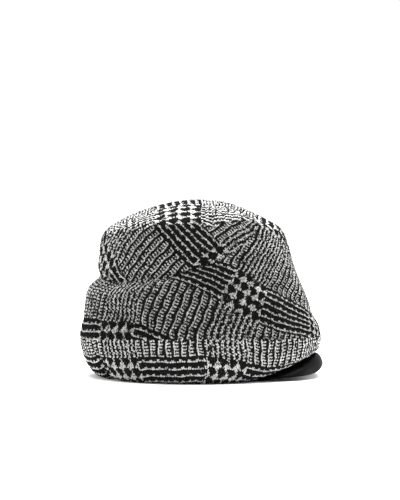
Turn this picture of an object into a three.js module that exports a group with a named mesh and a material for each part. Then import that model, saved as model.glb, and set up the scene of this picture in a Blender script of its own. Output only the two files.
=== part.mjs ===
// A knitted baker boy cap with a short curved peak, in millimetres.
// +X is the front, where the peak is, +Z is up, and the hem stands on z = 0.
import * as THREE from 'three';

// Driving sizes
const knitWall = 2.6;
const peakThickness = 2.4;
const seamGap = 0.3;

// How finely the panels are faceted: columns round the crown and rows up each panel
const columns = 80;
const topRows = 8;
const rearRows = 6;
const sideRows = 12;
const bandRows = 6;
const peakSpans = 34;
const peakRows = 8;

// Places this close to a ring count as on it
const onRing = 0.001;

// Rings of the knitted crown, from the hem up to the middle of the top.
// Front and rear lie on the middle plane, and ySide is half of the ring's width.
const rings = [
  { name: 'hem', xFront: 88, zFront: 27, xRear: -97, zRear: 0, ySide: 89, zSide: 0 },
  { name: 'turned edge', xFront: 103, zFront: 24, xRear: -106.5, zRear: 3.6, ySide: 95, zSide: 3.4 },
  { name: 'low bulge', xFront: 114.5, zFront: 25.5, xRear: -114.5, zRear: 13, ySide: 100, zSide: 13 },
  { name: 'widest', xFront: 118, zFront: 33.5, xRear: -119.5, zRear: 26, ySide: 103.5, zSide: 30 },
  { name: 'band seam', xFront: 118.5, zFront: 40, xRear: -122, zRear: 39, ySide: 104.5, zSide: 45 },
  { name: 'low side', xFront: 116, zFront: 52, xRear: -120.5, zRear: 52, ySide: 103.5, zSide: 62 },
  { name: 'middle side', xFront: 110, zFront: 66, xRear: -117.5, zRear: 67, ySide: 101, zSide: 80 },
  { name: 'high side', xFront: 103.5, zFront: 83, xRear: -112.5, zRear: 83, ySide: 97, zSide: 97 },
  { name: 'rear crease', xFront: 96.5, zFront: 100, xRear: -105, zRear: 100, ySide: 93, zSide: 112 },
  { name: 'upper side', xFront: 90.5, zFront: 118, xRear: -101.5, zRear: 118, ySide: 88, zSide: 128 },
  { name: 'shoulder', xFront: 85.5, zFront: 134, xRear: -100.5, zRear: 131, ySide: 81, zSide: 143 },
  { name: 'top seam', xFront: 79, zFront: 147, xRear: -97, zRear: 143, ySide: 72, zSide: 157 },
  { name: 'top shoulder', xFront: 65, zFront: 156, xRear: -83, zRear: 154, ySide: 57, zSide: 165 },
  { name: 'top slope', xFront: 46, zFront: 165.5, xRear: -60, zRear: 164.5, ySide: 40, zSide: 171.5 },
  { name: 'near middle', xFront: 22, zFront: 173.5, xRear: -30, zRear: 172.8, ySide: 20, zSide: 174.8 },
  { name: 'middle', xFront: -3, zFront: 175.6, xRear: -3, zRear: 175.6, ySide: 0, zSide: 175.6 },
];
const hemRing = 0;
const bandSeamRing = 4;
const topSeamRing = 11;
const middleRing = rings.length - 1;
const eggTaper = 0.05;

// The seam under the rear panel: its height at each angle from the back, the same on both sides.
const rearSeam = [
  { fromBack: 0, height: 100 },
  { fromBack: 36, height: 97 },
  { fromBack: 60, height: 102 },
  { fromBack: 77, height: 107.5 },
  { fromBack: 90, height: 114 },
  { fromBack: 98, height: 119.5 },
  { fromBack: 112, height: 127.5 },
  { fromBack: 117, height: 133.5 },
  { fromBack: 129, height: 143 },
  { fromBack: 139, height: 156 },
];
const rearSeamEnd = rearSeam[rearSeam.length - 1].fromBack;
const creaseDepth = 5.5;
const creaseHalfHeight = 6;
const creaseEnd = 121;
const creaseFade = 50;
const shelfBulge = 2.2;
const shelfDrop = 11;

// Folds and dents, each a soft groove between two places on the crown, in degrees from the front
// (negative is the right side) and millimetres of height. A negative depth stands out.
const folds = [
  { name: 'right front pinch', angleA: -54, heightA: 97, angleB: -24, heightB: 82, halfWidth: 6, depth: 3.2 },
  { name: 'right front roll', angleA: -56, heightA: 86, angleB: -22, heightB: 68, halfWidth: 9, depth: -1.6 },
  { name: 'right rim dent', angleA: -76, heightA: 133, angleB: -66, heightB: 120, halfWidth: 6, depth: 2.6 },
  { name: 'hem gather', angleA: -152, heightA: -6, angleB: -149, heightB: 20, halfWidth: 4.5, depth: 4.5 },
  { name: 'right low fold', angleA: -140, heightA: 72, angleB: -112, heightB: 56, halfWidth: 9, depth: 1.8 },
  { name: 'left front pinch', angleA: 50, heightA: 99, angleB: 20, heightB: 86, halfWidth: 7, depth: 2.6 },
  { name: 'left low fold', angleA: 132, heightA: 70, angleB: 98, heightB: 58, halfWidth: 10, depth: 2.2 },
  { name: 'back dent', angleA: 168, heightA: 70, angleB: -172, heightB: 56, halfWidth: 9, depth: 1.6 },
];

// Where the rim of the top rises or dips, in degrees and rings round its place.
const rimLifts = [
  { name: 'right rise', angle: -51, ring: 11, halfAngle: 14, halfRings: 1.4, lift: 6 },
  { name: 'right dip', angle: -77, ring: 11, halfAngle: 4, halfRings: 0.8, lift: -4 },
  { name: 'left rise', angle: 52, ring: 11, halfAngle: 15, halfRings: 1.4, lift: 5 },
];
const gatherAngle = -150.5;
const gatherLift = 5.2;
const gatherHalfWidth = 6;
const gatherFade = 14;
const rippleDepth = 0.9;
const rippleCount = 7;
const rippleSlant = 24;

// Where the front edge lifts off the surface: nothing up to this share of the front, then a smooth rise.
const liftStart = 0.12;
const liftPower = 3.9;

// The peak: its outer edge is a full oval in plan, high in the middle and low at the sides.
const peakHalfAngle = 48;
const peakEdgeCentre = 54;
const peakEdgeReach = 68;
const peakEdgeHalfWidth = 70;
const peakEdgeFullness = 0.75;
const peakEdgeSweep = 78;
const peakSideHeight = 5;
const peakMiddleRise = 7.6;
const peakRiseHalfWidth = 30;
const peakArch = 7.8;
const peakArchPlace = 2.3;
const peakArchSpread = 0.6;
const peakRootInset = 3.2;
const peakRootDrop = 1.4;

const degree = Math.PI / 180;
const around = (angle) => Math.atan2(Math.sin(angle), Math.cos(angle));
const bump = (distance, halfWidth) => Math.exp(-((distance / halfWidth) ** 2));

// A smooth value through a column of the ring table.
function ringValue(column, ring) {
  const low = Math.min(Math.floor(ring), middleRing - 1);
  const t = ring - low;
  const value = (index) => rings[Math.max(0, Math.min(middleRing, index))][column];
  const [a, b, c, d] = [value(low - 1), value(low), value(low + 1), value(low + 2)];
  const bend = (2 * a - 5 * b + 4 * c - d) * t ** 2 + (3 * b - a - 3 * c + d) * t ** 3;
  return 0.5 * (2 * b + (c - a) * t + bend);
}

// How far a low ring has left its side height, towards the front or the back.
function endShare(angle, ring) {
  const along = Math.cos(angle);
  const upper = along ** 2;
  if (along < 0 || ring >= bandSeamRing) return upper;
  const lifted = Math.max(0, (along - liftStart) / (1 - liftStart)) ** liftPower;
  const blend = ring / bandSeamRing;
  return lifted * (1 - blend) + upper * blend;
}

// The crown's plain form, before seams and folds.
function plainForm(angle, ring) {
  const xFront = ringValue('xFront', ring);
  const xRear = ringValue('xRear', ring);
  const centre = (xFront + xRear) / 2;
  const halfLength = (xFront - xRear) / 2;
  const taper = 1 - eggTaper * Math.cos(angle);
  const zEnd = ringValue(Math.cos(angle) > 0 ? 'zFront' : 'zRear', ring);
  const zSide = ringValue('zSide', ring);
  const point = new THREE.Vector3(
    centre + halfLength * Math.cos(angle),
    ringValue('ySide', ring) * Math.sin(angle) * taper,
    Math.max(0, zSide + (zEnd - zSide) * endShare(angle, ring)),
  );
  for (const rim of rimLifts) {
    const aside = bump(around(angle - rim.angle * degree) / degree, rim.halfAngle);
    point.z += rim.lift * aside * bump(ring - rim.ring, rim.halfRings);
  }
  return point;
}

// The rear seam's height at an angle, on straight lines between the rows of its table.
function rearSeamHeight(angle) {
  const fromBack = 180 - Math.abs(around(angle)) / degree;
  const next = rearSeam.findIndex((row) => row.fromBack > fromBack);
  if (next < 1) return rearSeam[rearSeam.length - 1].height;
  const [low, high] = [rearSeam[next - 1], rearSeam[next]];
  const t = (fromBack - low.fromBack) / (high.fromBack - low.fromBack);
  return low.height + (high.height - low.height) * t;
}

// The seams' and folds' push on a point, in millimetres outwards.
function foldPush(angle, point) {
  const fromBack = 180 - Math.abs(around(angle)) / degree;
  const overSeam = point.z - rearSeamHeight(angle);
  const strength = Math.max(0, Math.min(1, (creaseEnd - fromBack) / creaseFade));
  let push = -creaseDepth * strength * bump(overSeam, creaseHalfHeight);
  push += shelfBulge * strength * bump(overSeam + shelfDrop, shelfDrop);
  const radius = Math.hypot(point.x, point.y);
  for (const fold of folds) {
    const from = new THREE.Vector2(around(fold.angleA * degree - angle) * radius, fold.heightA - point.z);
    const to = new THREE.Vector2(around(fold.angleB * degree - angle) * radius, fold.heightB - point.z);
    const run = to.clone().sub(from);
    const share = Math.max(0, Math.min(1, -from.dot(run) / run.lengthSq()));
    push -= fold.depth * bump(from.addScaledVector(run, share).length(), fold.halfWidth);
  }
  const middleHeight = Math.sin(Math.PI * Math.min(1, point.z / rings[topSeamRing].zSide));
  return push + rippleDepth * middleHeight * Math.sin(rippleCount * angle + point.z / rippleSlant);
}

// The outer surface of the crown.
function crownPoint(angle, ring) {
  const point = plainForm(angle, ring);
  const outwards = new THREE.Vector3(point.x, point.y, 0);
  if (ring > topSeamRing) outwards.setZ((ring - topSeamRing) * outwards.length());
  if (ring < middleRing - onRing) point.addScaledVector(outwards.normalize(), foldPush(angle, point));
  const gatherDistance = around(angle - gatherAngle * degree) * Math.hypot(point.x, point.y);
  point.z += gatherLift * bump(gatherDistance, gatherHalfWidth) * Math.exp(-point.z / gatherFade);
  return point;
}

// The crown's outward direction, from its slopes along and across the rings.
function crownNormal(angle, ring) {
  const step = 0.02;
  if (ring > middleRing - step) return new THREE.Vector3(0, 0, 1);
  const low = Math.max(0, ring - step);
  const upwards = crownPoint(angle, ring + step).sub(crownPoint(angle, low));
  const sideways = crownPoint(angle + step, ring).sub(crownPoint(angle - step, ring));
  return sideways.cross(upwards).normalize();
}

// The inner surface lies one wall in. The hem's edge is cut level, so that it stands flat.
function innerPoint(angle, ring) {
  const outer = crownPoint(angle, ring);
  const normal = crownNormal(angle, ring);
  if (ring > hemRing + onRing) return outer.addScaledVector(normal, -knitWall);
  return outer.addScaledVector(normal.setZ(0).normalize(), -knitWall);
}

// The ring at which the crown has a given height at this angle.
function ringAtHeight(angle, height) {
  let [low, high] = [bandSeamRing, topSeamRing];
  while (high - low > onRing / 10) {
    const ring = (low + high) / 2;
    if (plainForm(angle, ring).z < height) low = ring;
    else high = ring;
  }
  return low;
}

// A ring moved by half of the seam gap, up or down along the surface.
function besideSeam(angle, ring, direction) {
  const step = 0.05;
  const slope = crownPoint(angle, ring + direction * step).distanceTo(crownPoint(angle, ring)) / step;
  return ring + (direction * seamGap) / 2 / slope;
}

// A closed wall from rows of outer and inner points, which may close round the crown and at its top.
function wallGeometry(outerRows, innerRows, closedRound, pole) {
  const positions = [];
  const triangles = [];
  const width = outerRows[0].length;
  const addPoint = (point) => positions.push(point.x, point.y, point.z) / 3 - 1;
  const add = (rows) => rows.map((row) => row.map(addPoint));
  const outer = add(outerRows);
  const inner = add(innerRows);
  const quad = (a, b, c, d) => triangles.push(a, b, c, a, c, d);
  const last = closedRound ? width : width - 1;
  const top = outer.length - 1;
  for (let i = 0; i < last; i += 1) {
    const j = (i + 1) % width;
    for (let k = 0; k < top; k += 1) {
      quad(outer[k][i], outer[k][j], outer[k + 1][j], outer[k + 1][i]);
      quad(inner[k][j], inner[k][i], inner[k + 1][i], inner[k + 1][j]);
    }
    quad(inner[0][i], inner[0][j], outer[0][j], outer[0][i]);
    if (!pole) quad(outer[top][i], outer[top][j], inner[top][j], inner[top][i]);
  }
  if (pole) {
    const [outerPole, innerPole] = add([pole])[0];
    for (let i = 0; i < last; i += 1) {
      const j = (i + 1) % width;
      triangles.push(outer[top][i], outer[top][j], outerPole);
      triangles.push(inner[top][j], inner[top][i], innerPole);
    }
  }
  if (!closedRound) {
    for (let k = 0; k < top; k += 1) {
      quad(outer[k][0], outer[k + 1][0], inner[k + 1][0], inner[k][0]);
      quad(inner[k][width - 1], inner[k + 1][width - 1], outer[k + 1][width - 1], outer[k][width - 1]);
    }
  }
  const geometry = new THREE.BufferGeometry();
  geometry.setAttribute('position', new THREE.Float32BufferAttribute(positions, 3));
  geometry.setIndex(triangles);
  geometry.computeVertexNormals();
  return geometry;
}

// A knitted panel between two seams, each given as a function from the angle to its ring.
function panelGeometry(angles, lowerRing, upperRing, steps, closedRound, pole) {
  const place = (angle, k) => lowerRing(angle) + ((upperRing(angle) - lowerRing(angle)) * k) / steps;
  const rows = Array.from({ length: steps + (pole ? 0 : 1) }, (_, k) => k);
  const outerRows = rows.map((k) => angles.map((angle) => crownPoint(angle, place(angle, k))));
  const innerRows = rows.map((k) => angles.map((angle) => innerPoint(angle, place(angle, k))));
  return wallGeometry(outerRows, innerRows, closedRound, pole);
}

const allAngles = Array.from({ length: columns }, (_, i) => ((i + 0.5) * 360 * degree) / columns);
const seamRing = (angle) => ringAtHeight(angle, rearSeamHeight(angle));
const behindRearSeamEnd = (angle) => 180 - Math.abs(around(angle)) / degree < rearSeamEnd;

const topPanel = () => panelGeometry(
  allAngles,
  (angle) => besideSeam(angle, topSeamRing, 1),
  () => middleRing,
  topRows,
  true,
  [crownPoint(0, middleRing), crownPoint(0, middleRing).setZ(rings[middleRing].zSide - knitWall)],
);

const rearPanel = () => panelGeometry(
  allAngles.filter(behindRearSeamEnd),
  (angle) => besideSeam(angle, seamRing(angle), 1),
  (angle) => besideSeam(angle, topSeamRing, -1),
  rearRows,
  false,
);

const sidePanel = () => panelGeometry(
  allAngles,
  (angle) => besideSeam(angle, bandSeamRing, 1),
  (angle) => besideSeam(angle, behindRearSeamEnd(angle) ? seamRing(angle) : topSeamRing, -1),
  sideRows,
  true,
);

const band = () => panelGeometry(
  allAngles,
  () => hemRing,
  (angle) => besideSeam(angle, bandSeamRing, -1),
  bandRows,
  true,
);

// The peak's root runs under the hem, and its edge sweeps out in front of it.
function peakPoint(across, out) {
  const rootAngle = across * peakHalfAngle * degree;
  const root = crownPoint(rootAngle, hemRing);
  root.addScaledVector(new THREE.Vector3(root.x, root.y, 0).normalize(), -peakRootInset);
  root.z -= peakRootDrop;
  const sweep = across * peakEdgeSweep * degree;
  const y = peakEdgeHalfWidth * Math.sin(sweep);
  const z = peakSideHeight + peakMiddleRise * bump(y, peakRiseHalfWidth);
  const x = peakEdgeCentre + peakEdgeReach * Math.cos(sweep) ** peakEdgeFullness;
  const edge = new THREE.Vector3(x, y, z);
  const run = edge.clone().sub(root);
  const lift = new THREE.Vector3(-run.z * Math.cos(sweep), -run.z * Math.sin(sweep), 0);
  lift.setZ(Math.hypot(run.x, run.y));
  const arch = peakArch * Math.sin(Math.PI * out ** peakArchPlace)
    * Math.cos((across * Math.PI) / 2) ** peakArchSpread;
  return root.addScaledVector(run, out).addScaledVector(lift.normalize(), arch);
}

function peak() {
  const acrossSteps = Array.from({ length: peakSpans + 1 }, (_, i) => (2 * i) / peakSpans - 1);
  const outSteps = Array.from({ length: peakRows + 1 }, (_, k) => k / peakRows);
  const upper = outSteps.map((out) => acrossSteps.map((across) => peakPoint(across, out)));
  const under = upper.map((row) => row.map((point) => point.clone().setZ(point.z - peakThickness)));
  return wallGeometry(under, upper, false);
}

const knit = new THREE.MeshStandardMaterial({ color: 0x6f6f6d, roughness: 0.95, metalness: 0 });
const leather = new THREE.MeshStandardMaterial({ color: 0x17171a, roughness: 0.7, metalness: 0 });

function piece(name, geometry, material) {
  const mesh = new THREE.Mesh(geometry, material);
  mesh.name = name;
  return mesh;
}

const cap = new THREE.Group();
cap.add(
  piece('top_panel', topPanel(), knit),
  piece('rear_panel', rearPanel(), knit),
  piece('side_panel', sidePanel(), knit),
  piece('band', band(), knit),
  piece('peak', peak(), leather),
);
export default cap;
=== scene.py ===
import math

import bpy
import numpy as np
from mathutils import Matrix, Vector


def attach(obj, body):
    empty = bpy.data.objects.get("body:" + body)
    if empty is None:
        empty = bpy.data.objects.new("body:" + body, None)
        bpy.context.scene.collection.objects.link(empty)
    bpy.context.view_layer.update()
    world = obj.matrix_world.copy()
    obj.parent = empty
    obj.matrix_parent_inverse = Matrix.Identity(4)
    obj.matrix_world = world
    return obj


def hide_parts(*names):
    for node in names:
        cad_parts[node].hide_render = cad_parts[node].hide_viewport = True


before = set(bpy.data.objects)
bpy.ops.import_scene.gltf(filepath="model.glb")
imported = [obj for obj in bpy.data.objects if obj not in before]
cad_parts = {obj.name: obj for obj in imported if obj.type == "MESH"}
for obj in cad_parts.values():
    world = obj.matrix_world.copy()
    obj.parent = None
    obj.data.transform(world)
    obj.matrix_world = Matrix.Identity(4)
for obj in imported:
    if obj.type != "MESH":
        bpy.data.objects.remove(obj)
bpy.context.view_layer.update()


# Camera and stage
# The cap is seen from its right side, a little from above, through a long lens. It stands on a white floor
# under a broad soft light, with weaker ones in front of it and at both ends.
mm = 0.001
CAMERA_TARGET = Vector((-1.5, 0, 126)) * mm
CAMERA_DISTANCE = 4.0
CAMERA_RISE = math.radians(3.6)
FRAME_HEIGHT = 0.5
SENSOR = 36

camera_data = bpy.data.cameras.new("camera")
camera_data.sensor_width = SENSOR
camera_data.lens = SENSOR * CAMERA_DISTANCE / FRAME_HEIGHT
camera = bpy.data.objects.new("camera", camera_data)
bpy.context.scene.collection.objects.link(camera)
view_direction = Vector((0, math.cos(CAMERA_RISE), -math.sin(CAMERA_RISE)))
camera.location = CAMERA_TARGET - view_direction * CAMERA_DISTANCE
camera.rotation_euler = view_direction.to_track_quat("-Z", "Y").to_euler()
bpy.context.scene.camera = camera
bpy.context.scene.view_settings.view_transform = "Standard"


def surface_material(name, colour, roughness):
    material = bpy.data.materials.new(name)
    material.use_nodes = True
    shader = material.node_tree.nodes["Principled BSDF"]
    shader.inputs["Base Color"].default_value = (*colour, 1)
    shader.inputs["Roughness"].default_value = roughness
    return material, material.node_tree, shader


FLOOR_SIZE = 8.0
STAGE_ROUGHNESS = 0.9
bpy.ops.object.select_all(action="DESELECT")
bpy.ops.mesh.primitive_plane_add(size=FLOOR_SIZE)
floor = bpy.context.object
floor.name = "floor"
floor.data.materials.append(surface_material("white_floor", (0.97, 0.97, 0.97), STAGE_ROUGHNESS)[0])

# A black card behind the camera keeps the side of the cap darker than its top, and than its lower edge,
# which the white floor lights from below.
CARD_WIDTH, CARD_HEIGHT, CARD_PLACE = 12, 4.5, -4.6
bpy.ops.object.select_all(action="DESELECT")
bpy.ops.mesh.primitive_plane_add(size=1, location=(0, CARD_PLACE, CARD_HEIGHT / 2))
card = bpy.context.object
card.name = "black_card"
card.scale = (CARD_WIDTH, CARD_HEIGHT, 1)
card.rotation_euler.x = math.pi / 2
card.data.materials.append(surface_material("black_card", (0.01, 0.01, 0.01), STAGE_ROUGHNESS)[0])

STUDIO_BRIGHTNESS = 1.1
world = bpy.data.worlds.new("studio")
world.use_nodes = True
world.node_tree.nodes["Background"].inputs["Color"].default_value = (1, 1, 1, 1)
world.node_tree.nodes["Background"].inputs["Strength"].default_value = STUDIO_BRIGHTNESS
bpy.context.scene.world = world

# Places and sizes are in metres, and powers in watts. Front, left and right are as the camera sees them.
SOFTBOXES = [
    {"name": "overhead_light", "place": (0.1, 0.15, 1.6), "aim_height": 0.05, "size": 1.7, "power": 95},
    {"name": "front_light", "place": (0.5, -1.6, 0.9), "aim_height": 0.1, "size": 1.0, "power": 3},
    {"name": "left_light", "place": (-1.3, 0.25, 0.5), "aim_height": 0.1, "size": 0.8, "power": 10},
    {"name": "right_light", "place": (1.3, 0.25, 0.5), "aim_height": 0.1, "size": 0.8, "power": 12},
]
for row in SOFTBOXES:
    light_data = bpy.data.lights.new(row["name"], "AREA")
    light_data.size = row["size"]
    light_data.energy = row["power"]
    light = bpy.data.objects.new(row["name"], light_data)
    bpy.context.scene.collection.objects.link(light)
    light.location = row["place"]
    beam = Vector((0, 0, row["aim_height"])) - Vector(row["place"])
    light.rotation_euler = beam.to_track_quat("-Z", "Y").to_euler()


# Crown form
# All the knitted panels lie on one puffy form, in millimetres. Its rings run from the hem, which stands on
# the floor, to the middle of the top. A ring's front and rear are x and z on the middle plane, and its side
# is y and z at its widest. Angles are counted from the front, and are negative on the right side.
RINGS = [
    {"name": "hem", "front": (88, 27), "rear": (-97, 0), "side": (89, 0)},
    {"name": "turned edge", "front": (103, 24), "rear": (-106.5, 3.6), "side": (95, 3.4)},
    {"name": "low bulge", "front": (114.5, 25.5), "rear": (-114.5, 13), "side": (100, 13)},
    {"name": "widest", "front": (118, 33.5), "rear": (-119.5, 26), "side": (103.5, 30)},
    {"name": "band seam", "front": (118.5, 40), "rear": (-122, 39), "side": (104.5, 45)},
    {"name": "low side", "front": (116, 52), "rear": (-120.5, 52), "side": (103.5, 62)},
    {"name": "middle side", "front": (110, 66), "rear": (-117.5, 67), "side": (101, 80)},
    {"name": "high side", "front": (103.5, 83), "rear": (-112.5, 83), "side": (97, 97)},
    {"name": "rear crease", "front": (96.5, 100), "rear": (-105, 100), "side": (93, 112)},
    {"name": "upper side", "front": (90.5, 118), "rear": (-101.5, 118), "side": (88, 128)},
    {"name": "shoulder", "front": (85.5, 134), "rear": (-100.5, 131), "side": (81, 143)},
    {"name": "top seam", "front": (79, 147), "rear": (-97, 143), "side": (72, 157)},
    {"name": "top shoulder", "front": (65, 156), "rear": (-83, 154), "side": (57, 165)},
    {"name": "top slope", "front": (46, 165.5), "rear": (-60, 164.5), "side": (40, 171.5)},
    {"name": "near middle", "front": (22, 173.5), "rear": (-30, 172.8), "side": (20, 174.8)},
    {"name": "middle", "front": (-3, 175.6), "rear": (-3, 175.6), "side": (0, 175.6)},
]
HEM_RING = 0
BAND_SEAM_RING = 4
TOP_SEAM_RING = 11
MIDDLE_RING = len(RINGS) - 1
EGG_TAPER = 0.05
# The front of the hem lifts off the floor, from a share of the way forward on, in a smooth rise.
LIFT_START, LIFT_POWER = 0.12, 3.9
# How near to the middle ring counts as on it and as flat there, in rings.
ON_MIDDLE, NEAR_MIDDLE = 0.001, 0.05
# How often a search for a ring halves its range.
HALVINGS = 24

# The seam under the rear panel, the same on both sides, with the crease over it and the shelf under it.
REAR_SEAM = [
    {"from_back": 0, "height": 100},
    {"from_back": 36, "height": 97},
    {"from_back": 60, "height": 102},
    {"from_back": 77, "height": 107.5},
    {"from_back": 90, "height": 114},
    {"from_back": 98, "height": 119.5},
    {"from_back": 112, "height": 127.5},
    {"from_back": 117, "height": 133.5},
    {"from_back": 129, "height": 143},
    {"from_back": 139, "height": 156},
]
REAR_SEAM_END = REAR_SEAM[-1]["from_back"]
CREASE_DEPTH, CREASE_HALF_HEIGHT = 5.5, 6
CREASE_END, CREASE_FADE = 121, 50
SHELF_BULGE, SHELF_DROP = 2.2, 11

# Each fold is a soft groove between two places, given by angle and height. A negative depth stands out.
FOLDS = [
    {"name": "right front pinch", "from": (-54, 97), "to": (-24, 82), "half_width": 6, "depth": 3.2},
    {"name": "right front roll", "from": (-56, 86), "to": (-22, 68), "half_width": 9, "depth": -1.6},
    {"name": "right rim dent", "from": (-76, 133), "to": (-66, 120), "half_width": 6, "depth": 2.6},
    {"name": "hem gather", "from": (-152, -6), "to": (-149, 20), "half_width": 4.5, "depth": 4.5},
    {"name": "right low fold", "from": (-140, 72), "to": (-112, 56), "half_width": 9, "depth": 1.8},
    {"name": "left front pinch", "from": (50, 99), "to": (20, 86), "half_width": 7, "depth": 2.6},
    {"name": "left low fold", "from": (132, 70), "to": (98, 58), "half_width": 10, "depth": 2.2},
    {"name": "back dent", "from": (168, 70), "to": (-172, 56), "half_width": 9, "depth": 1.6},
]
# Where the top's rim rises or dips, the small gather at the rear of the hem, and the ripple all over.
RIM_LIFTS = [
    {"name": "right rise", "angle": -51, "ring": 11, "half_angle": 14, "half_rings": 1.4, "lift": 6},
    {"name": "right dip", "angle": -77, "ring": 11, "half_angle": 4, "half_rings": 0.8, "lift": -4},
    {"name": "left rise", "angle": 52, "ring": 11, "half_angle": 15, "half_rings": 1.4, "lift": 5},
]
GATHER = {"angle": -150.5, "lift": 5.2, "half_width": 6, "fade": 14}
RIPPLE = {"depth": 0.9, "count": 7, "slant": 24}


def around(angle):
    return np.arctan2(np.sin(angle), np.cos(angle))


def bump(distance, half_width):
    return np.exp(-((distance / half_width) ** 2))


def ring_value(column, axis, ring):
    """A smooth value through one column of the ring table."""
    values = np.array([row[column][axis] for row in RINGS], float)
    low = np.clip(np.floor(ring).astype(int), 0, MIDDLE_RING - 1)
    t = ring - low
    a, b, c, d = (values[np.clip(low + step, 0, MIDDLE_RING)] for step in (-1, 0, 1, 2))
    curve = (2 * a - 5 * b + 4 * c - d) * t**2 + (3 * b - a - 3 * c + d) * t**3
    return 0.5 * (2 * b + (c - a) * t + curve)


def end_share(angle, ring):
    """How far a ring has left its side height, towards the front or the back."""
    along = np.cos(angle)
    upper = along**2
    lifted = np.clip((along - LIFT_START) / (1 - LIFT_START), 0, None) ** LIFT_POWER
    blend = np.clip(ring / BAND_SEAM_RING, 0, 1)
    return np.where(along < 0, upper, lifted * (1 - blend) + upper * blend)


def plain_form(angle, ring):
    """The crown before its seams and folds, in millimetres."""
    x_front, z_front = ring_value("front", 0, ring), ring_value("front", 1, ring)
    x_rear, z_rear = ring_value("rear", 0, ring), ring_value("rear", 1, ring)
    y_side, z_side = ring_value("side", 0, ring), ring_value("side", 1, ring)
    z_end = np.where(np.cos(angle) > 0, z_front, z_rear)
    x = (x_front + x_rear) / 2 + (x_front - x_rear) / 2 * np.cos(angle)
    y = y_side * np.sin(angle) * (1 - EGG_TAPER * np.cos(angle))
    z = np.maximum(0, z_side + (z_end - z_side) * end_share(angle, ring))
    for rim in RIM_LIFTS:
        aside = np.degrees(around(angle - math.radians(rim["angle"])))
        z = z + rim["lift"] * bump(aside, rim["half_angle"]) * bump(ring - rim["ring"], rim["half_rings"])
    return np.stack([x, y, z], -1)


def rear_seam_height(angle):
    from_back = 180 - np.abs(np.degrees(around(angle)))
    angles, heights = ([row[key] for row in REAR_SEAM] for key in ("from_back", "height"))
    return np.interp(from_back, angles, heights)


def fold_push(angle, point):
    """How far the seams and folds push a point outwards."""
    from_back = 180 - np.abs(np.degrees(around(angle)))
    x, y, z = point[..., 0], point[..., 1], point[..., 2]
    over_seam = z - rear_seam_height(angle)
    strength = np.clip((CREASE_END - from_back) / CREASE_FADE, 0, 1)
    push = -CREASE_DEPTH * strength * bump(over_seam, CREASE_HALF_HEIGHT)
    push = push + SHELF_BULGE * strength * bump(over_seam + SHELF_DROP, SHELF_DROP)
    radius = np.hypot(x, y)
    for fold in FOLDS:
        (angle_a, height_a), (angle_b, height_b) = fold["from"], fold["to"]
        ax, az = around(math.radians(angle_a) - angle) * radius, height_a - z
        bx, bz = around(math.radians(angle_b) - angle) * radius, height_b - z
        run_x, run_z = bx - ax, bz - az
        share = np.clip(-(ax * run_x + az * run_z) / (run_x**2 + run_z**2 + 1e-9), 0, 1)
        away = np.hypot(ax + run_x * share, az + run_z * share)
        push = push - fold["depth"] * bump(away, fold["half_width"])
    middle = np.sin(np.pi * np.minimum(1, z / RINGS[TOP_SEAM_RING]["side"][1]))
    return push + RIPPLE["depth"] * middle * np.sin(RIPPLE["count"] * angle + z / RIPPLE["slant"])


def crown_point(angle, ring, out=0.0):
    """A point of the crown's outer surface, or out millimetres outside it, in metres."""
    angle, ring = np.broadcast_arrays(np.asarray(angle, float), np.asarray(ring, float))
    point = plain_form(angle, ring)
    flat = np.hypot(point[..., 0], point[..., 1]) + 1e-9
    rise = np.where(ring > TOP_SEAM_RING, (ring - TOP_SEAM_RING) * flat, 0)
    outwards = np.stack([point[..., 0], point[..., 1], rise], -1)
    outwards = outwards / np.linalg.norm(outwards, axis=-1, keepdims=True)
    push = np.where(ring < MIDDLE_RING - ON_MIDDLE, fold_push(angle, point), 0)
    point = point + outwards * push[..., None]
    aside = around(angle - math.radians(GATHER["angle"])) * np.hypot(point[..., 0], point[..., 1])
    near_hem = np.exp(-point[..., 2] / GATHER["fade"])
    point[..., 2] += GATHER["lift"] * bump(aside, GATHER["half_width"]) * near_hem
    if np.any(out):
        point = point + crown_normal(angle, ring) * np.asarray(out)[..., None]
    return point * mm


def crown_normal(angle, ring):
    """The outward direction of the crown, from its slopes along and across the rings."""
    step = 0.02
    high = np.minimum(ring + step, MIDDLE_RING)
    low = np.maximum(ring - step, 0)
    upwards = crown_point(angle, high) - crown_point(angle, low)
    sideways = crown_point(angle + step, ring) - crown_point(angle - step, ring)
    normal = np.cross(sideways, upwards)
    length = np.linalg.norm(normal, axis=-1, keepdims=True)
    top = np.broadcast_to([0.0, 0.0, 1.0], normal.shape)
    flat = (np.asarray(ring)[..., None] > MIDDLE_RING - NEAR_MIDDLE) | (length < 1e-15)
    return np.where(flat, top, normal / (length + 1e-20))


def ring_at_height(angle, height):
    """The ring at which the crown's sides have a height."""
    low = np.full(np.shape(angle), float(BAND_SEAM_RING))
    high = np.full(np.shape(angle), float(TOP_SEAM_RING))
    for turn in range(HALVINGS):
        middle = (low + high) / 2
        below = plain_form(angle, middle)[..., 2] < height
        low = np.where(below, middle, low)
        high = np.where(below, high, middle)
    return low


def rear_seam_ring(angle):
    """The ring of the seam under the rear panel, which ends at the top seam."""
    from_back = 180 - np.abs(np.degrees(around(angle)))
    ring = ring_at_height(angle, rear_seam_height(angle))
    return np.where(from_back < REAR_SEAM_END, ring, TOP_SEAM_RING)


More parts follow.
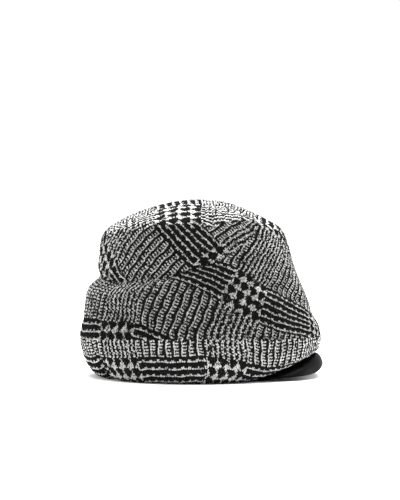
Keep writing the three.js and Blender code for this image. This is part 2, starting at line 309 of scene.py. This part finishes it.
# Knitting The cloth is a two-colour jacquard knit in a glen check. A chart's rows are courses, the
# lowest first. A wale is a column of stitches and a course is a row of them, with their sizes in
# millimetres.
WALE = 2.6
COURSE = 1.53
STRIPE_CHART = ["bbbbbb", "wwwwww", "wwbbbb", "bbbbbb", "bbbbbb"]
LADDER_CHART = ["bbwwww", "bbbbbw"]
TOOTH_CHART = [
    "wwwbbwww",
    "wwbbbbww",
    "wbbbbbww",
    "bbbbbbbw",
    "bbbbbbbw",
    "wbbbbbbb",
    "wwbbbbbw",
    "wwwwbwww",
]
SPECK_CHART = ["bbww", "bbwb", "bbww", "bwwb"]
STRIPE_WALES, TOOTH_WALES = 27, 16
STRIPE_COURSES, LADDER_COURSES = 30, 36


def chart_is_white(chart, leg, course):
    """Whether a leg is white in a chart that repeats."""
    table = np.array([[mark == "w" for mark in row] for row in chart])
    return table[course % table.shape[0], leg % table.shape[1]]


def glen_check(wale, course, side):
    """Whether a leg is white: side is 0 for a stitch's first leg and 1 for its second one."""
    wale = wale % (STRIPE_WALES + TOOTH_WALES)
    course = course % (STRIPE_COURSES + LADDER_COURSES)
    leg, ladder_course = 2 * wale + side, course - STRIPE_COURSES
    tooth_leg = leg - 2 * STRIPE_WALES
    toothed = np.where(
        course < STRIPE_COURSES,
        chart_is_white(TOOTH_CHART, tooth_leg, course),
        chart_is_white(SPECK_CHART, tooth_leg, ladder_course),
    )
    plain = np.where(
        course < STRIPE_COURSES,
        chart_is_white(STRIPE_CHART, leg, course),
        chart_is_white(LADDER_CHART, leg, ladder_course),
    )
    return np.where(wale < STRIPE_WALES, plain, toothed)


# A leg: places across and along its stitch, how far each stands out, and its half-width there.
LEG_PATH = [
    {"across": 0.47, "along": -0.30, "out": -1.2, "half_width": 0.0},
    {"across": 0.36, "along": 0.20, "out": -0.2, "half_width": 0.68},
    {"across": 0.17, "along": 0.76, "out": -0.15, "half_width": 0.68},
    {"across": 0.10, "along": 1.22, "out": -1.1, "half_width": 0.0},
]
# Across the leg: its first side, its ridge and its other side.
LEG_SECTION = [{"side": 1, "out": -0.32}, {"side": 0, "out": 0.5}, {"side": -1, "out": -0.32}]
# The faces between a leg's eight corners: its first tip, two sections of three corners, and its last tip.
LEG_FACES = np.array(
    [(0, 1, 2), (0, 2, 3), (1, 4, 5), (1, 5, 2), (2, 5, 6), (2, 6, 3), (4, 7, 5), (5, 7, 6)]
)
# Here and there a white leg sinks, and black yarn shows in its place.
SUNKEN_SHARE = 0.05
# The black yarn is fuller than the white one. By chance, a leg slips by a share of its stitch, is fuller or
# thinner, and stands out more or less: these are the spreads.
WHITE_FULLNESS, BLACK_FULLNESS = 0.92, 1.1
LEG_SLIP, LEG_SWELL, LEG_PROUD = 0.11, 0.16, 0.2
# The tone varies from leg to leg at random, and painted shade darkens each leg in the gaps beside it.
TONE_SPREAD, TONE_SHAPE = 0.7, (1.8, 1.2)
# Painted shade at a leg's tips and sides, and painted light on its ridge, in the order of its corners.
CORNER_PAINTED_LIGHT_AND_SHADE = np.array([-0.35, -0.2, 0.1, -0.2, -0.2, 0.1, -0.2, -0.35])


def yarn_mesh(name, legs, tones, material):
    """One mesh of many legs, with each leg's own tone and the painted shade and light of its corners."""
    count, corners = legs.shape[:2]
    faces = (LEG_FACES[None] + np.arange(count)[:, None, None] * corners).reshape(-1)
    mesh = bpy.data.meshes.new(name)
    mesh.vertices.add(count * corners)
    mesh.vertices.foreach_set("co", legs.reshape(-1).astype(np.float32))
    mesh.loops.add(len(faces))
    mesh.loops.foreach_set("vertex_index", faces.astype(np.int32))
    mesh.polygons.add(len(faces) // 3)
    mesh.polygons.foreach_set("loop_start", np.arange(0, len(faces), 3, dtype=np.int32))
    mesh.polygons.foreach_set("use_smooth", np.ones(len(faces) // 3, bool))
    mesh.update(calc_edges=True)
    tone = mesh.attributes.new("tone", "FLOAT", "POINT")
    tone.data.foreach_set("value", (tones[:, None] + CORNER_PAINTED_LIGHT_AND_SHADE).reshape(-1).astype(np.float32))
    mesh.materials.append(material)
    piece = bpy.data.objects.new(name, mesh)
    bpy.context.scene.collection.objects.link(piece)
    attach(piece, "root")


def yarn_material(name, dark, light, sheen):
    """Wool yarn coloured by the tone attribute, with a fine fibre bump. The tone varies from leg to leg,
    and carries painted light and shade.
    """
    material, tree, shader = surface_material(name, dark, 0.95)
    nodes, links = tree.nodes, tree.links
    shader.inputs["Specular IOR Level"].default_value = 0.04
    shader.inputs["Sheen Weight"].default_value = sheen
    shader.inputs["Sheen Roughness"].default_value = 0.6
    tone = nodes.new("ShaderNodeAttribute")
    tone.attribute_name = "tone"
    place = nodes.new("ShaderNodeTexCoord")
    fibre = nodes.new("ShaderNodeTexNoise")
    fibre.inputs["Scale"].default_value = 2600
    fibre.inputs["Detail"].default_value = 3
    links.new(place.outputs["Object"], fibre.inputs["Vector"])
    blend = nodes.new("ShaderNodeMath")
    blend.operation = "MULTIPLY_ADD"
    blend.inputs[1].default_value = 0.35
    links.new(fibre.outputs["Fac"], blend.inputs[0])
    links.new(tone.outputs["Fac"], blend.inputs[2])
    ramp = nodes.new("ShaderNodeValToRGB")
    ramp.color_ramp.elements[0].position = 0.15
    ramp.color_ramp.elements[0].color = (*dark, 1)
    ramp.color_ramp.elements[1].position = 1.0
    ramp.color_ramp.elements[1].color = (*light, 1)
    links.new(blend.outputs["Value"], ramp.inputs["Fac"])
    links.new(ramp.outputs["Color"], shader.inputs["Base Color"])
    relief = nodes.new("ShaderNodeBump")
    relief.inputs["Strength"].default_value = 0.4
    relief.inputs["Distance"].default_value = 0.0002
    links.new(fibre.outputs["Fac"], relief.inputs["Height"])
    links.new(relief.outputs["Normal"], shader.inputs["Normal"])
    return material


white_yarn = yarn_material("off_white_yarn", (0.07, 0.07, 0.068), (0.60, 0.60, 0.582), 0.05)
black_yarn = yarn_material("black_yarn", (0.002, 0.002, 0.0022), (0.009, 0.009, 0.0095), 0.0)
yarn_random = np.random.default_rng(7)


# Waves in the flat cloth, in millimetres: how far each one moves a place, and the lengths that it goes by.
SLOW_WANDER = {"size": 0.6, "along": 7.3, "bend": 1.7, "across": 23}
QUICK_WANDER = {"size": 0.45, "along": 2.9, "across": 5.1}
SLOW_SAG = {"size": 0.5, "across": 8.9, "bend": 1.3, "along": 19}
QUICK_SAG = {"size": 0.34, "across": 3.3, "along": 6.7}


def hand_slack(across, along):
    """Moves places in the flat cloth a little, because no course or wale is quite straight."""
    slow, quick = SLOW_WANDER, QUICK_WANDER
    wander = slow["size"] * np.sin(along / slow["along"] + slow["bend"] * np.sin(across / slow["across"]))
    wander = wander + quick["size"] * np.sin(along / quick["along"] + across / quick["across"])
    slow, quick = SLOW_SAG, QUICK_SAG
    sag = slow["size"] * np.sin(across / slow["across"] + slow["bend"] * np.sin(along / slow["along"]))
    sag = sag + quick["size"] * np.sin(across / quick["across"] - along / quick["along"])
    return across + wander, along + sag


def stitch_legs(wales, courses, lay, inside):
    """The legs of a panel's stitches, and whether each is white.

    lay turns places in the flat cloth, in millimetres, into angles and rings on the crown.
    inside says which angles and rings belong to the panel.
    """
    wale, course = np.meshgrid(np.arange(*wales), np.arange(*courses), indexing="ij")
    angle, ring = lay(*hand_slack(wale * WALE, course * COURSE))
    used = inside((angle[:-1, :-1] + angle[1:, 1:]) / 2, (ring[:-1, :-1] + ring[1:, 1:]) / 2)
    ring = np.clip(ring, 0, MIDDLE_RING)
    points = crown_point(angle, ring) / mm
    normal = crown_normal(angle, ring)[:-1, :-1][used]
    here, beside = points[:-1, :-1][used], points[1:, :-1][used]
    above, across_above = points[:-1, 1:][used], points[1:, 1:][used]
    wale, course = wale[:-1, :-1][used], course[:-1, :-1][used]
    legs, whites = [], []
    for side in (0, 1):
        count = len(here)
        white = glen_check(wale, course, side) & (yarn_random.uniform(0, 1, count) > SUNKEN_SHARE)
        slip = yarn_random.normal(0, LEG_SLIP, (count, 2))
        swell = yarn_random.normal(1, LEG_SWELL, (count, 1))
        swell = swell * np.where(white, WHITE_FULLNESS, BLACK_FULLNESS)[:, None]
        proud = yarn_random.normal(0, LEG_PROUD, (count, 1))
        path = []
        for step in LEG_PATH:
            across = (step["across"] if side == 0 else 1 - step["across"]) + slip[:, :1]
            along = step["along"] + slip[:, 1:]
            spot = here * (1 - across) * (1 - along) + beside * across * (1 - along)
            spot = spot + above * (1 - across) * along + across_above * across * along
            path.append(spot + normal * (step["out"] + proud))
        lengthways = path[2] - path[1]
        lengthways = lengthways / (np.linalg.norm(lengthways, axis=1, keepdims=True) + 1e-9)
        sideways = np.cross(lengthways, normal)
        corners = [path[0]]
        for step, spot in zip(LEG_PATH[1:3], path[1:3]):
            for place in LEG_SECTION:
                reach = sideways * place["side"] * step["half_width"] + normal * place["out"]
                corners.append(spot + reach * swell)
        corners.append(path[3])
        legs.append(np.stack(corners, 1))
        whites.append(white)
    return np.concatenate(legs) * mm, np.concatenate(whites)


def stitch_pieces(name, halves, painted_lighting=0.0):
    """The white and the black stitches of a panel, from the legs of its one or two halves.

    The last argument is added to the tone of the panel's yarn: painted light where it is above 0, and
    painted shade where it is below 0.
    """
    legs = np.concatenate([half[0] for half in halves])
    legs[..., 2] = np.maximum(legs[..., 2], 0)
    whites = np.concatenate([half[1] for half in halves])
    tones = TONE_SPREAD * yarn_random.beta(*TONE_SHAPE, len(legs)) + painted_lighting
    yarn_mesh(name + "_white_stitches", legs[whites], tones[whites], white_yarn)
    yarn_mesh(name + "_black_stitches", legs[~whites], tones[~whites], black_yarn)


# How deep the cloth that carries the stitches lies under them, how thick it is, and how far it ends from a
# seam, in rings. Corners nearer than the merge distance, in metres, become one.
GROUND_DEPTH = 1.25
GROUND_WALL = 1.35
SEAM_GAP = 0.01
MERGE_DISTANCE = 0.00002
SMOOTH_ANGLE = math.radians(50)


def ground_material():
    """The back of the double knit, under the stitches: specks of black and of dark grey. The grey specks
    are far darker than the white yarn, as painted shade in the gaps between stitches.
    """
    material, tree, shader = surface_material("knit_ground", (0.1, 0.1, 0.1), 0.95)
    nodes, links = tree.nodes, tree.links
    shader.inputs["Specular IOR Level"].default_value = 0.1
    place = nodes.new("ShaderNodeTexCoord")
    speck = nodes.new("ShaderNodeTexVoronoi")
    speck.inputs["Scale"].default_value = 520
    links.new(place.outputs["Object"], speck.inputs["Vector"])
    ramp = nodes.new("ShaderNodeValToRGB")
    ramp.color_ramp.interpolation = "CONSTANT"
    ramp.color_ramp.elements[0].color = (0.012, 0.012, 0.012, 1)
    # Painted shade: the paler specks are dark grey, not white, so the gaps between stitches look shaded.
    ramp.color_ramp.elements[1].position = 0.55
    ramp.color_ramp.elements[1].color = (0.10, 0.10, 0.097, 1)
    split = nodes.new("ShaderNodeSeparateColor")
    links.new(speck.outputs["Color"], split.inputs["Color"])
    links.new(split.outputs["Red"], ramp.inputs["Fac"])
    links.new(ramp.outputs["Color"], shader.inputs["Base Color"])
    relief = nodes.new("ShaderNodeBump")
    relief.inputs["Strength"].default_value = 0.6
    relief.inputs["Distance"].default_value = 0.0006
    links.new(speck.outputs["Distance"], relief.inputs["Height"])
    links.new(relief.outputs["Normal"], shader.inputs["Normal"])
    return material


knit_ground = ground_material()


def shares_of_grid(mesh):
    """Where each vertex of a new grid lies, as shares of the grid's two sides."""
    places = np.empty(len(mesh.vertices) * 3)
    mesh.vertices.foreach_get("co", places)
    return places.reshape(-1, 3) + 0.5


def ground_panel(name, node, lower_ring, upper_ring, columns, rows, start=-math.pi, end=math.pi):
    """The ground cloth of a panel: a grid laid on the crown between two seams, given its thickness."""
    bpy.ops.object.select_all(action="DESELECT")
    bpy.ops.mesh.primitive_grid_add(x_subdivisions=columns, y_subdivisions=rows, size=1)
    panel = bpy.context.object
    panel.name = name
    mesh = panel.data
    flat = shares_of_grid(mesh)
    angle = start + (end - start) * flat[:, 0]
    low, high = lower_ring(angle), upper_ring(angle)
    place = crown_point(angle, low + (high - low) * flat[:, 1], np.full(len(angle), -GROUND_DEPTH))
    mesh.vertices.foreach_set("co", place.reshape(-1))
    mesh.update()
    bpy.ops.object.mode_set(mode="EDIT")
    bpy.ops.mesh.select_all(action="SELECT")
    bpy.ops.mesh.remove_doubles(threshold=MERGE_DISTANCE)
    bpy.ops.mesh.normals_make_consistent(inside=False)
    bpy.ops.object.mode_set(mode="OBJECT")
    wall = panel.modifiers.new("wall", "SOLIDIFY")
    wall.thickness = GROUND_WALL * mm
    wall.offset = -1
    bpy.ops.object.modifier_apply(modifier=wall.name)
    bpy.ops.object.shade_smooth_by_angle(angle=SMOOTH_ANGLE)
    panel.data.materials.append(knit_ground)
    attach(panel, "root")
    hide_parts(node)


# Top panel
# One oval piece of cloth, seamed all round to the crown's sides. Its stripes run across the cap, and a
# column of teeth lies along its right rim. Its stitches reach a little over the seam.
TOP_CENTRE = -9
TOP_TEETH_EDGE = -72
TOP_STRIPES_BACK = -46
TOP_OVER_SEAM = 0.02
# Places are looked for up to so many rings past the seam, and up to so near the middle.
TOP_SEARCH_PAST_SEAM, TOP_SEARCH_TO_MIDDLE = 0.6, 0.02


def top_lay(across, along):
    """Flat cloth laid on the top: across is to the left, and along is to the front."""
    along = along + TOP_STRIPES_BACK - TOP_CENTRE
    across = across + TOP_TEETH_EDGE - STRIPE_WALES * WALE
    aim, length = np.arctan2(across, along), np.hypot(across, along)
    angle = aim
    low = np.full(aim.shape, TOP_SEAM_RING - TOP_SEARCH_PAST_SEAM)
    high = np.full(aim.shape, MIDDLE_RING - TOP_SEARCH_TO_MIDDLE)
    for turn in range(HALVINGS):
        middle = (low + high) / 2
        form = plain_form(angle, middle)
        outside = np.hypot(form[..., 0] - TOP_CENTRE, form[..., 1]) > length
        low = np.where(outside, middle, low)
        high = np.where(outside, high, middle)
        angle = angle + around(aim - np.arctan2(form[..., 1], form[..., 0] - TOP_CENTRE))
    return angle, (low + high) / 2


def level(ring):
    """A seam that stays on one ring."""
    return lambda angle: np.full(np.shape(angle), float(ring))


ground_panel(
    "top_panel_ground",
    "top_panel",
    level(TOP_SEAM_RING + SEAM_GAP),
    level(MIDDLE_RING),
    columns=160,
    rows=30,
)
top_legs = stitch_legs(
    wales=(25, 85),
    courses=(-45, 95),
    lay=top_lay,
    inside=lambda angle, ring: ring > TOP_SEAM_RING - TOP_OVER_SEAM,
)
# Painted light: the top's yarn is made paler, where the light from above falls full on it.
stitch_pieces("top_panel", [top_legs], painted_lighting=0.28)


# Side cloth
# The upright panels are laid from flat cloth too. A run round the crown and a rise up it, in millimetres,
# are measured on the form. Both sides of the cap mirror each other and meet in the middle, front and back.
MEASURED_ANGLES, MEASURED_RINGS = 241, 161
RISE_STEP, RISE_MARGIN = 0.5, 6
# Cloth that runs on past the middle plane turns on this radius.
MIDDLE_TURN = 100
# A place is kept this many cells from the end of a table, so that a next value exists.
LAST_CELL = 1.001


class SideCloth:
    """Runs and rises on one half of the crown, between two rings."""

    def __init__(self, low_ring, high_ring, run_ring, sign):
        self.sign = sign
        self.angles = np.linspace(0, math.pi, MEASURED_ANGLES)
        self.rings = np.linspace(low_ring, high_ring, MEASURED_RINGS)
        line = crown_point(sign * self.angles, np.full(self.angles.shape, run_ring)) / mm
        steps = np.linalg.norm(np.diff(line, axis=0), axis=1)
        self.runs = np.concatenate([[0], np.cumsum(steps)])
        grid_angle, grid_ring = np.meshgrid(sign * self.angles, self.rings, indexing="ij")
        sheet = crown_point(grid_angle, grid_ring) / mm
        climbs = np.linalg.norm(np.diff(sheet, axis=1), axis=2)
        self.rises = np.concatenate([np.zeros((len(self.angles), 1)), np.cumsum(climbs, 1)], 1)
        self.heights = np.arange(-RISE_MARGIN, self.rises.max() + RISE_MARGIN, RISE_STEP)
        self.table = np.array([self.ring_row(row) for row in self.rises])

    def ring_row(self, row):
        """The rings at even steps of height, from the rises of the measured rings at one angle."""
        slope_low = (self.rings[1] - self.rings[0]) / (row[1] - row[0])
        slope_high = (self.rings[-1] - self.rings[-2]) / (row[-1] - row[-2])
        ring = np.interp(self.heights, row, self.rings)
        ring = np.where(self.heights < 0, self.rings[0] + self.heights * slope_low, ring)
        above = self.rings[-1] + (self.heights - row[-1]) * slope_high
        return np.where(self.heights > row[-1], above, ring)

    def place(self, run, rise):
        """The angle and ring of a place in the cloth. Runs are counted from the front."""
        inside = np.interp(run, self.runs, self.angles)
        step = self.angles[-1] / (len(self.angles) - 1)
        column = np.clip(inside / step, 0, len(self.angles) - LAST_CELL)
        row = np.clip((rise - self.heights[0]) / RISE_STEP, 0, len(self.heights) - LAST_CELL)
        i, j = column.astype(int), row.astype(int)
        u, v = column - i, row - j
        table = self.table
        ring = table[i, j] * (1 - u) * (1 - v) + table[i + 1, j] * u * (1 - v)
        ring = ring + table[i, j + 1] * (1 - u) * v + table[i + 1, j + 1] * u * v
        past = np.where(run < 0, run, np.where(run > self.runs[-1], run - self.runs[-1], 0))
        return self.sign * (inside + past / MIDDLE_TURN), ring


def between(lower_ring, upper_ring, sign):
    """Whether a place lies on one half of the crown, between two seams."""

    def inside(angle, ring):
        own = (sign * angle >= 0) & (sign * angle <= math.pi)
        return own & (ring > lower_ring(angle)) & (ring < upper_ring(angle))

    return inside


def knot_shares(knots, place):
    """How much each knot's value counts at a place, on a smooth line through all the values."""
    knots = np.array(knots, float)
    values = np.eye(len(knots))
    slopes = np.gradient(values, knots, axis=0)
    kept = np.clip(place, knots[0], knots[-1])
    low = np.clip(np.searchsorted(knots, kept) - 1, 0, len(knots) - 2)
    gap = knots[low + 1] - knots[low]
    t = ((kept - knots[low]) / gap)[..., None]
    gap = gap[..., None]
    shares = (2 * t**3 - 3 * t**2 + 1) * values[low] + (t**3 - 2 * t**2 + t) * gap * slopes[low]
    shares = shares + (3 * t**2 - 2 * t**3) * values[low + 1] + (t**3 - t**2) * gap * slopes[low + 1]
    past = (place - kept)[..., None]
    return shares + past * np.where(past < 0, slopes[0], slopes[-1])


def askew(table, wales, across, along):
    """Runs and rises of cloth that is pulled askew, from the table of its places."""
    courses = knot_shares([row["course"] for row in table], along / COURSE)
    wales = knot_shares(wales, across / WALE)
    places = (np.array([row[key] for row in table], float) for key in ("runs", "rises"))
    return tuple(np.einsum("ijc,ijw,cw->ij", courses, wales, place) for place in places)


def laid_askew(cloth, table, wales):
    """Turns places in the flat cloth into angles and rings on one half of the crown."""
    return lambda across, along: cloth.place(*askew(table, wales, across, along))


# The signs of y on the right side and the left side of the cap.
SIDES = (-1, 1)

# Rear panel
# The upper back of the crown, cut on the cross: its stripes slant down to the front, and its columns down
# to the back. The table gives the runs and rises of the places where its stripes and teeth begin and end.
REAR_WALES = (-16, 0, 27, 43)
REAR_CLOTH = [
    {"course": -36, "runs": (149, 120, 72, 43), "rises": (208, 178, 124, 94)},
    {"course": 0, "runs": (192, 164, 116.5, 88), "rises": (179, 149, 98, 68)},
    {"course": 30, "runs": (219, 194, 151, 126), "rises": (163, 130, 72, 39)},
    {"course": 66, "runs": (264, 235, 190, 165), "rises": (114, 84, 31, 0)},
]

ground_panel(
    "rear_panel_ground",
    "rear_panel",
    lambda angle: rear_seam_ring(angle) + SEAM_GAP,
    level(TOP_SEAM_RING - SEAM_GAP),
    columns=200,
    rows=22,
    start=math.radians(180 - REAR_SEAM_END),
    end=math.radians(180 + REAR_SEAM_END),
)
halves = []
for sign in SIDES:
    cloth = SideCloth(BAND_SEAM_RING, TOP_SEAM_RING, run_ring=9, sign=sign)
    rear_lay = laid_askew(cloth, REAR_CLOTH, REAR_WALES)
    inside = between(rear_seam_ring, level(TOP_SEAM_RING), sign)
    halves.append(stitch_legs(wales=(-75, 76), courses=(-75, 150), lay=rear_lay, inside=inside))
stitch_pieces("rear_panel", halves)

# Side panel
# The large puffy panel round the front and sides. Its stripes climb from the front to the back, and its
# columns lean to the front, as its table of places says.
SIDE_WALES = (-43, -16, 0, 27, 43, 70)
SIDE_CLOTH = [
    {"course": -66, "runs": (78, 148, 182, 233, 272, 342), "rises": (-97, -74, -55, -29, -25, -24)},
    {"course": -36, "runs": (58, 127, 168, 234, 276, 346), "rises": (-52, -31, -12, 17, 20, 22)},
    {"course": 0, "runs": (42, 110, 147, 216, 265, 335), "rises": (0, 16, 39, 68, 76, 88)},
    {"course": 30, "runs": (30, 86, 122, 196, 236, 303), "rises": (27, 55, 71, 98, 112, 130)},
    {"course": 66, "runs": (-12, 30, 72, 165, 213, 290), "rises": (60, 100, 118, 146, 158, 178)},
]

ground_panel(
    "side_panel_ground",
    "side_panel",
    level(BAND_SEAM_RING + SEAM_GAP),
    lambda angle: rear_seam_ring(angle) - SEAM_GAP,
    columns=260,
    rows=48,
)
halves = []
for sign in SIDES:
    cloth = SideCloth(BAND_SEAM_RING, TOP_SEAM_RING, run_ring=6, sign=sign)
    side_lay = laid_askew(cloth, SIDE_CLOTH, SIDE_WALES)
    inside = between(level(BAND_SEAM_RING), rear_seam_ring, sign)
    halves.append(stitch_legs(wales=(-70, 90), courses=(-80, 100), lay=side_lay, inside=inside))
# Painted shade: the side's yarn is made a little darker, where less light reaches the middle of the side.
stitch_pieces("side_panel", halves, painted_lighting=-0.05)

# Band
# The lower strip, cut straight: its stripes run round the head opening, and it turns in at the hem. The
# table gives the rise of its stripes' upper edge. Its stitches stop a share of a ring short of the hem.
BAND_TEETH_EDGE = 167.8
BAND_SHORT_OF_HEM = 0.12
BAND_STRIPES = [
    {"run": 0, "rise": 20},
    {"run": 110, "rise": 25.5},
    {"run": 136, "rise": 32.5},
    {"run": 169, "rise": 35},
    {"run": 201, "rise": 33.5},
    {"run": 235, "rise": 32},
    {"run": 345, "rise": 32},
]

ground_panel(
    "band_ground",
    "band",
    level(HEM_RING),
    level(BAND_SEAM_RING - SEAM_GAP),
    columns=240,
    rows=30,
)
halves = []
for sign in SIDES:
    cloth = SideCloth(HEM_RING, BAND_SEAM_RING, run_ring=3, sign=sign)

    def band_lay(across, along, cloth=cloth):
        """Across is to the back, and along is up."""
        run = BAND_TEETH_EDGE + across
        edge = np.interp(run, [row["run"] for row in BAND_STRIPES], [row["rise"] for row in BAND_STRIPES])
        return cloth.place(run, edge + along - STRIPE_COURSES * COURSE)

    inside = between(level(HEM_RING + BAND_SHORT_OF_HEM), level(BAND_SEAM_RING), sign)
    halves.append(stitch_legs(wales=(-67, 72), courses=(-12, 50), lay=band_lay, inside=inside))
# Painted light: the band's yarn is made paler, where the white floor lights it from below.
stitch_pieces("band", halves, painted_lighting=0.25)

# Peak
# A short curved peak in smooth black leather, sewn under the front of the hem. Its outer edge is a full
# oval in plan, high in the middle and low at the sides, and is rounded.
PEAK_HALF_ANGLE = math.radians(48)
PEAK_EDGE_CENTRE, PEAK_EDGE_REACH, PEAK_EDGE_HALF_WIDTH = 54, 68, 70
PEAK_EDGE_SWEEP = math.radians(78)
PEAK_EDGE_FULLNESS = 0.75
PEAK_SIDE_HEIGHT, PEAK_MIDDLE_RISE, PEAK_RISE_HALF_WIDTH = 5, 7.6, 30
PEAK_ARCH, PEAK_ARCH_PLACE, PEAK_ARCH_SPREAD = 7.8, 2.3, 0.6
PEAK_ROOT_INSET, PEAK_ROOT_DROP = 3.2, 1.4
PEAK_THICKNESS = 2.4
PEAK_EDGE_ROUNDING, PEAK_EDGE_STEPS = 0.9, 3
PEAK_COLUMNS, PEAK_ROWS = 72, 18


def peak_point(across, out):
    """A point of the peak's upper face: across is -1 to 1, and out is 0 at the hem and 1 at the edge."""
    root_angle = across * PEAK_HALF_ANGLE
    root = crown_point(root_angle, np.zeros(np.shape(across))) / mm
    flat = np.hypot(root[..., 0], root[..., 1])[..., None]
    root = root - np.concatenate([root[..., :2] / flat, np.zeros_like(flat)], -1) * PEAK_ROOT_INSET
    root[..., 2] -= PEAK_ROOT_DROP
    sweep = across * PEAK_EDGE_SWEEP
    x = PEAK_EDGE_CENTRE + PEAK_EDGE_REACH * np.cos(sweep) ** PEAK_EDGE_FULLNESS
    y = PEAK_EDGE_HALF_WIDTH * np.sin(sweep)
    z = PEAK_SIDE_HEIGHT + PEAK_MIDDLE_RISE * bump(y, PEAK_RISE_HALF_WIDTH)
    run = np.stack([x, y, z], -1) - root
    level_run = np.hypot(run[..., 0], run[..., 1])
    lift = np.stack([-run[..., 2] * np.cos(sweep), -run[..., 2] * np.sin(sweep), level_run], -1)
    lift = lift / np.linalg.norm(lift, axis=-1, keepdims=True)
    arch = PEAK_ARCH * np.sin(np.pi * out**PEAK_ARCH_PLACE)
    arch = arch * np.cos(across * np.pi / 2).clip(0) ** PEAK_ARCH_SPREAD
    return (root + run * out[..., None] + lift * arch[..., None]) * mm


def leather_material():
    """Smooth black leather with a fine grain and a broad, soft shine."""
    material, tree, shader = surface_material("black_leather", (0.0012, 0.0012, 0.0013), 0.34)
    nodes, links = tree.nodes, tree.links
    shader.inputs["Specular IOR Level"].default_value = 0.025
    place = nodes.new("ShaderNodeTexCoord")
    grain = nodes.new("ShaderNodeTexVoronoi")
    grain.inputs["Scale"].default_value = 900
    links.new(place.outputs["Object"], grain.inputs["Vector"])
    cloud = nodes.new("ShaderNodeTexNoise")
    cloud.inputs["Scale"].default_value = 60
    links.new(place.outputs["Object"], cloud.inputs["Vector"])
    rough = nodes.new("ShaderNodeMapRange")
    rough.inputs["To Min"].default_value = 0.30
    rough.inputs["To Max"].default_value = 0.40
    links.new(cloud.outputs["Fac"], rough.inputs["Value"])
    links.new(rough.outputs["Result"], shader.inputs["Roughness"])
    relief = nodes.new("ShaderNodeBump")
    relief.inputs["Strength"].default_value = 0.12
    relief.inputs["Distance"].default_value = 0.0002
    links.new(grain.outputs["Distance"], relief.inputs["Height"])
    links.new(relief.outputs["Normal"], shader.inputs["Normal"])
    return material


bpy.ops.object.select_all(action="DESELECT")
bpy.ops.mesh.primitive_grid_add(x_subdivisions=PEAK_COLUMNS, y_subdivisions=PEAK_ROWS, size=1)
peak = bpy.context.object
peak.name = "leather_peak"
flat = shares_of_grid(peak.data)
peak.data.vertices.foreach_set("co", peak_point(1 - 2 * flat[:, 0], flat[:, 1]).reshape(-1))
peak.data.update()
bpy.ops.object.mode_set(mode="EDIT")
bpy.ops.mesh.select_all(action="SELECT")
bpy.ops.mesh.normals_make_consistent(inside=False)
bpy.ops.object.mode_set(mode="OBJECT")
# The upper face has to point up before the wall gets its thickness.
if peak.data.polygons[len(peak.data.polygons) // 2].normal.z < 0:
    peak.data.flip_normals()
wall = peak.modifiers.new("wall", "SOLIDIFY")
wall.thickness = PEAK_THICKNESS * mm
wall.offset = -1
edge = peak.modifiers.new("rounded_edge", "BEVEL")
edge.width = PEAK_EDGE_ROUNDING * mm
edge.segments = PEAK_EDGE_STEPS
edge.angle_limit = SMOOTH_ANGLE
for modifier in (wall, edge):
    bpy.ops.object.modifier_apply(modifier=modifier.name)
bpy.ops.object.shade_smooth_by_angle(angle=SMOOTH_ANGLE)
peak.data.materials.append(leather_material())
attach(peak, "root")
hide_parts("peak")
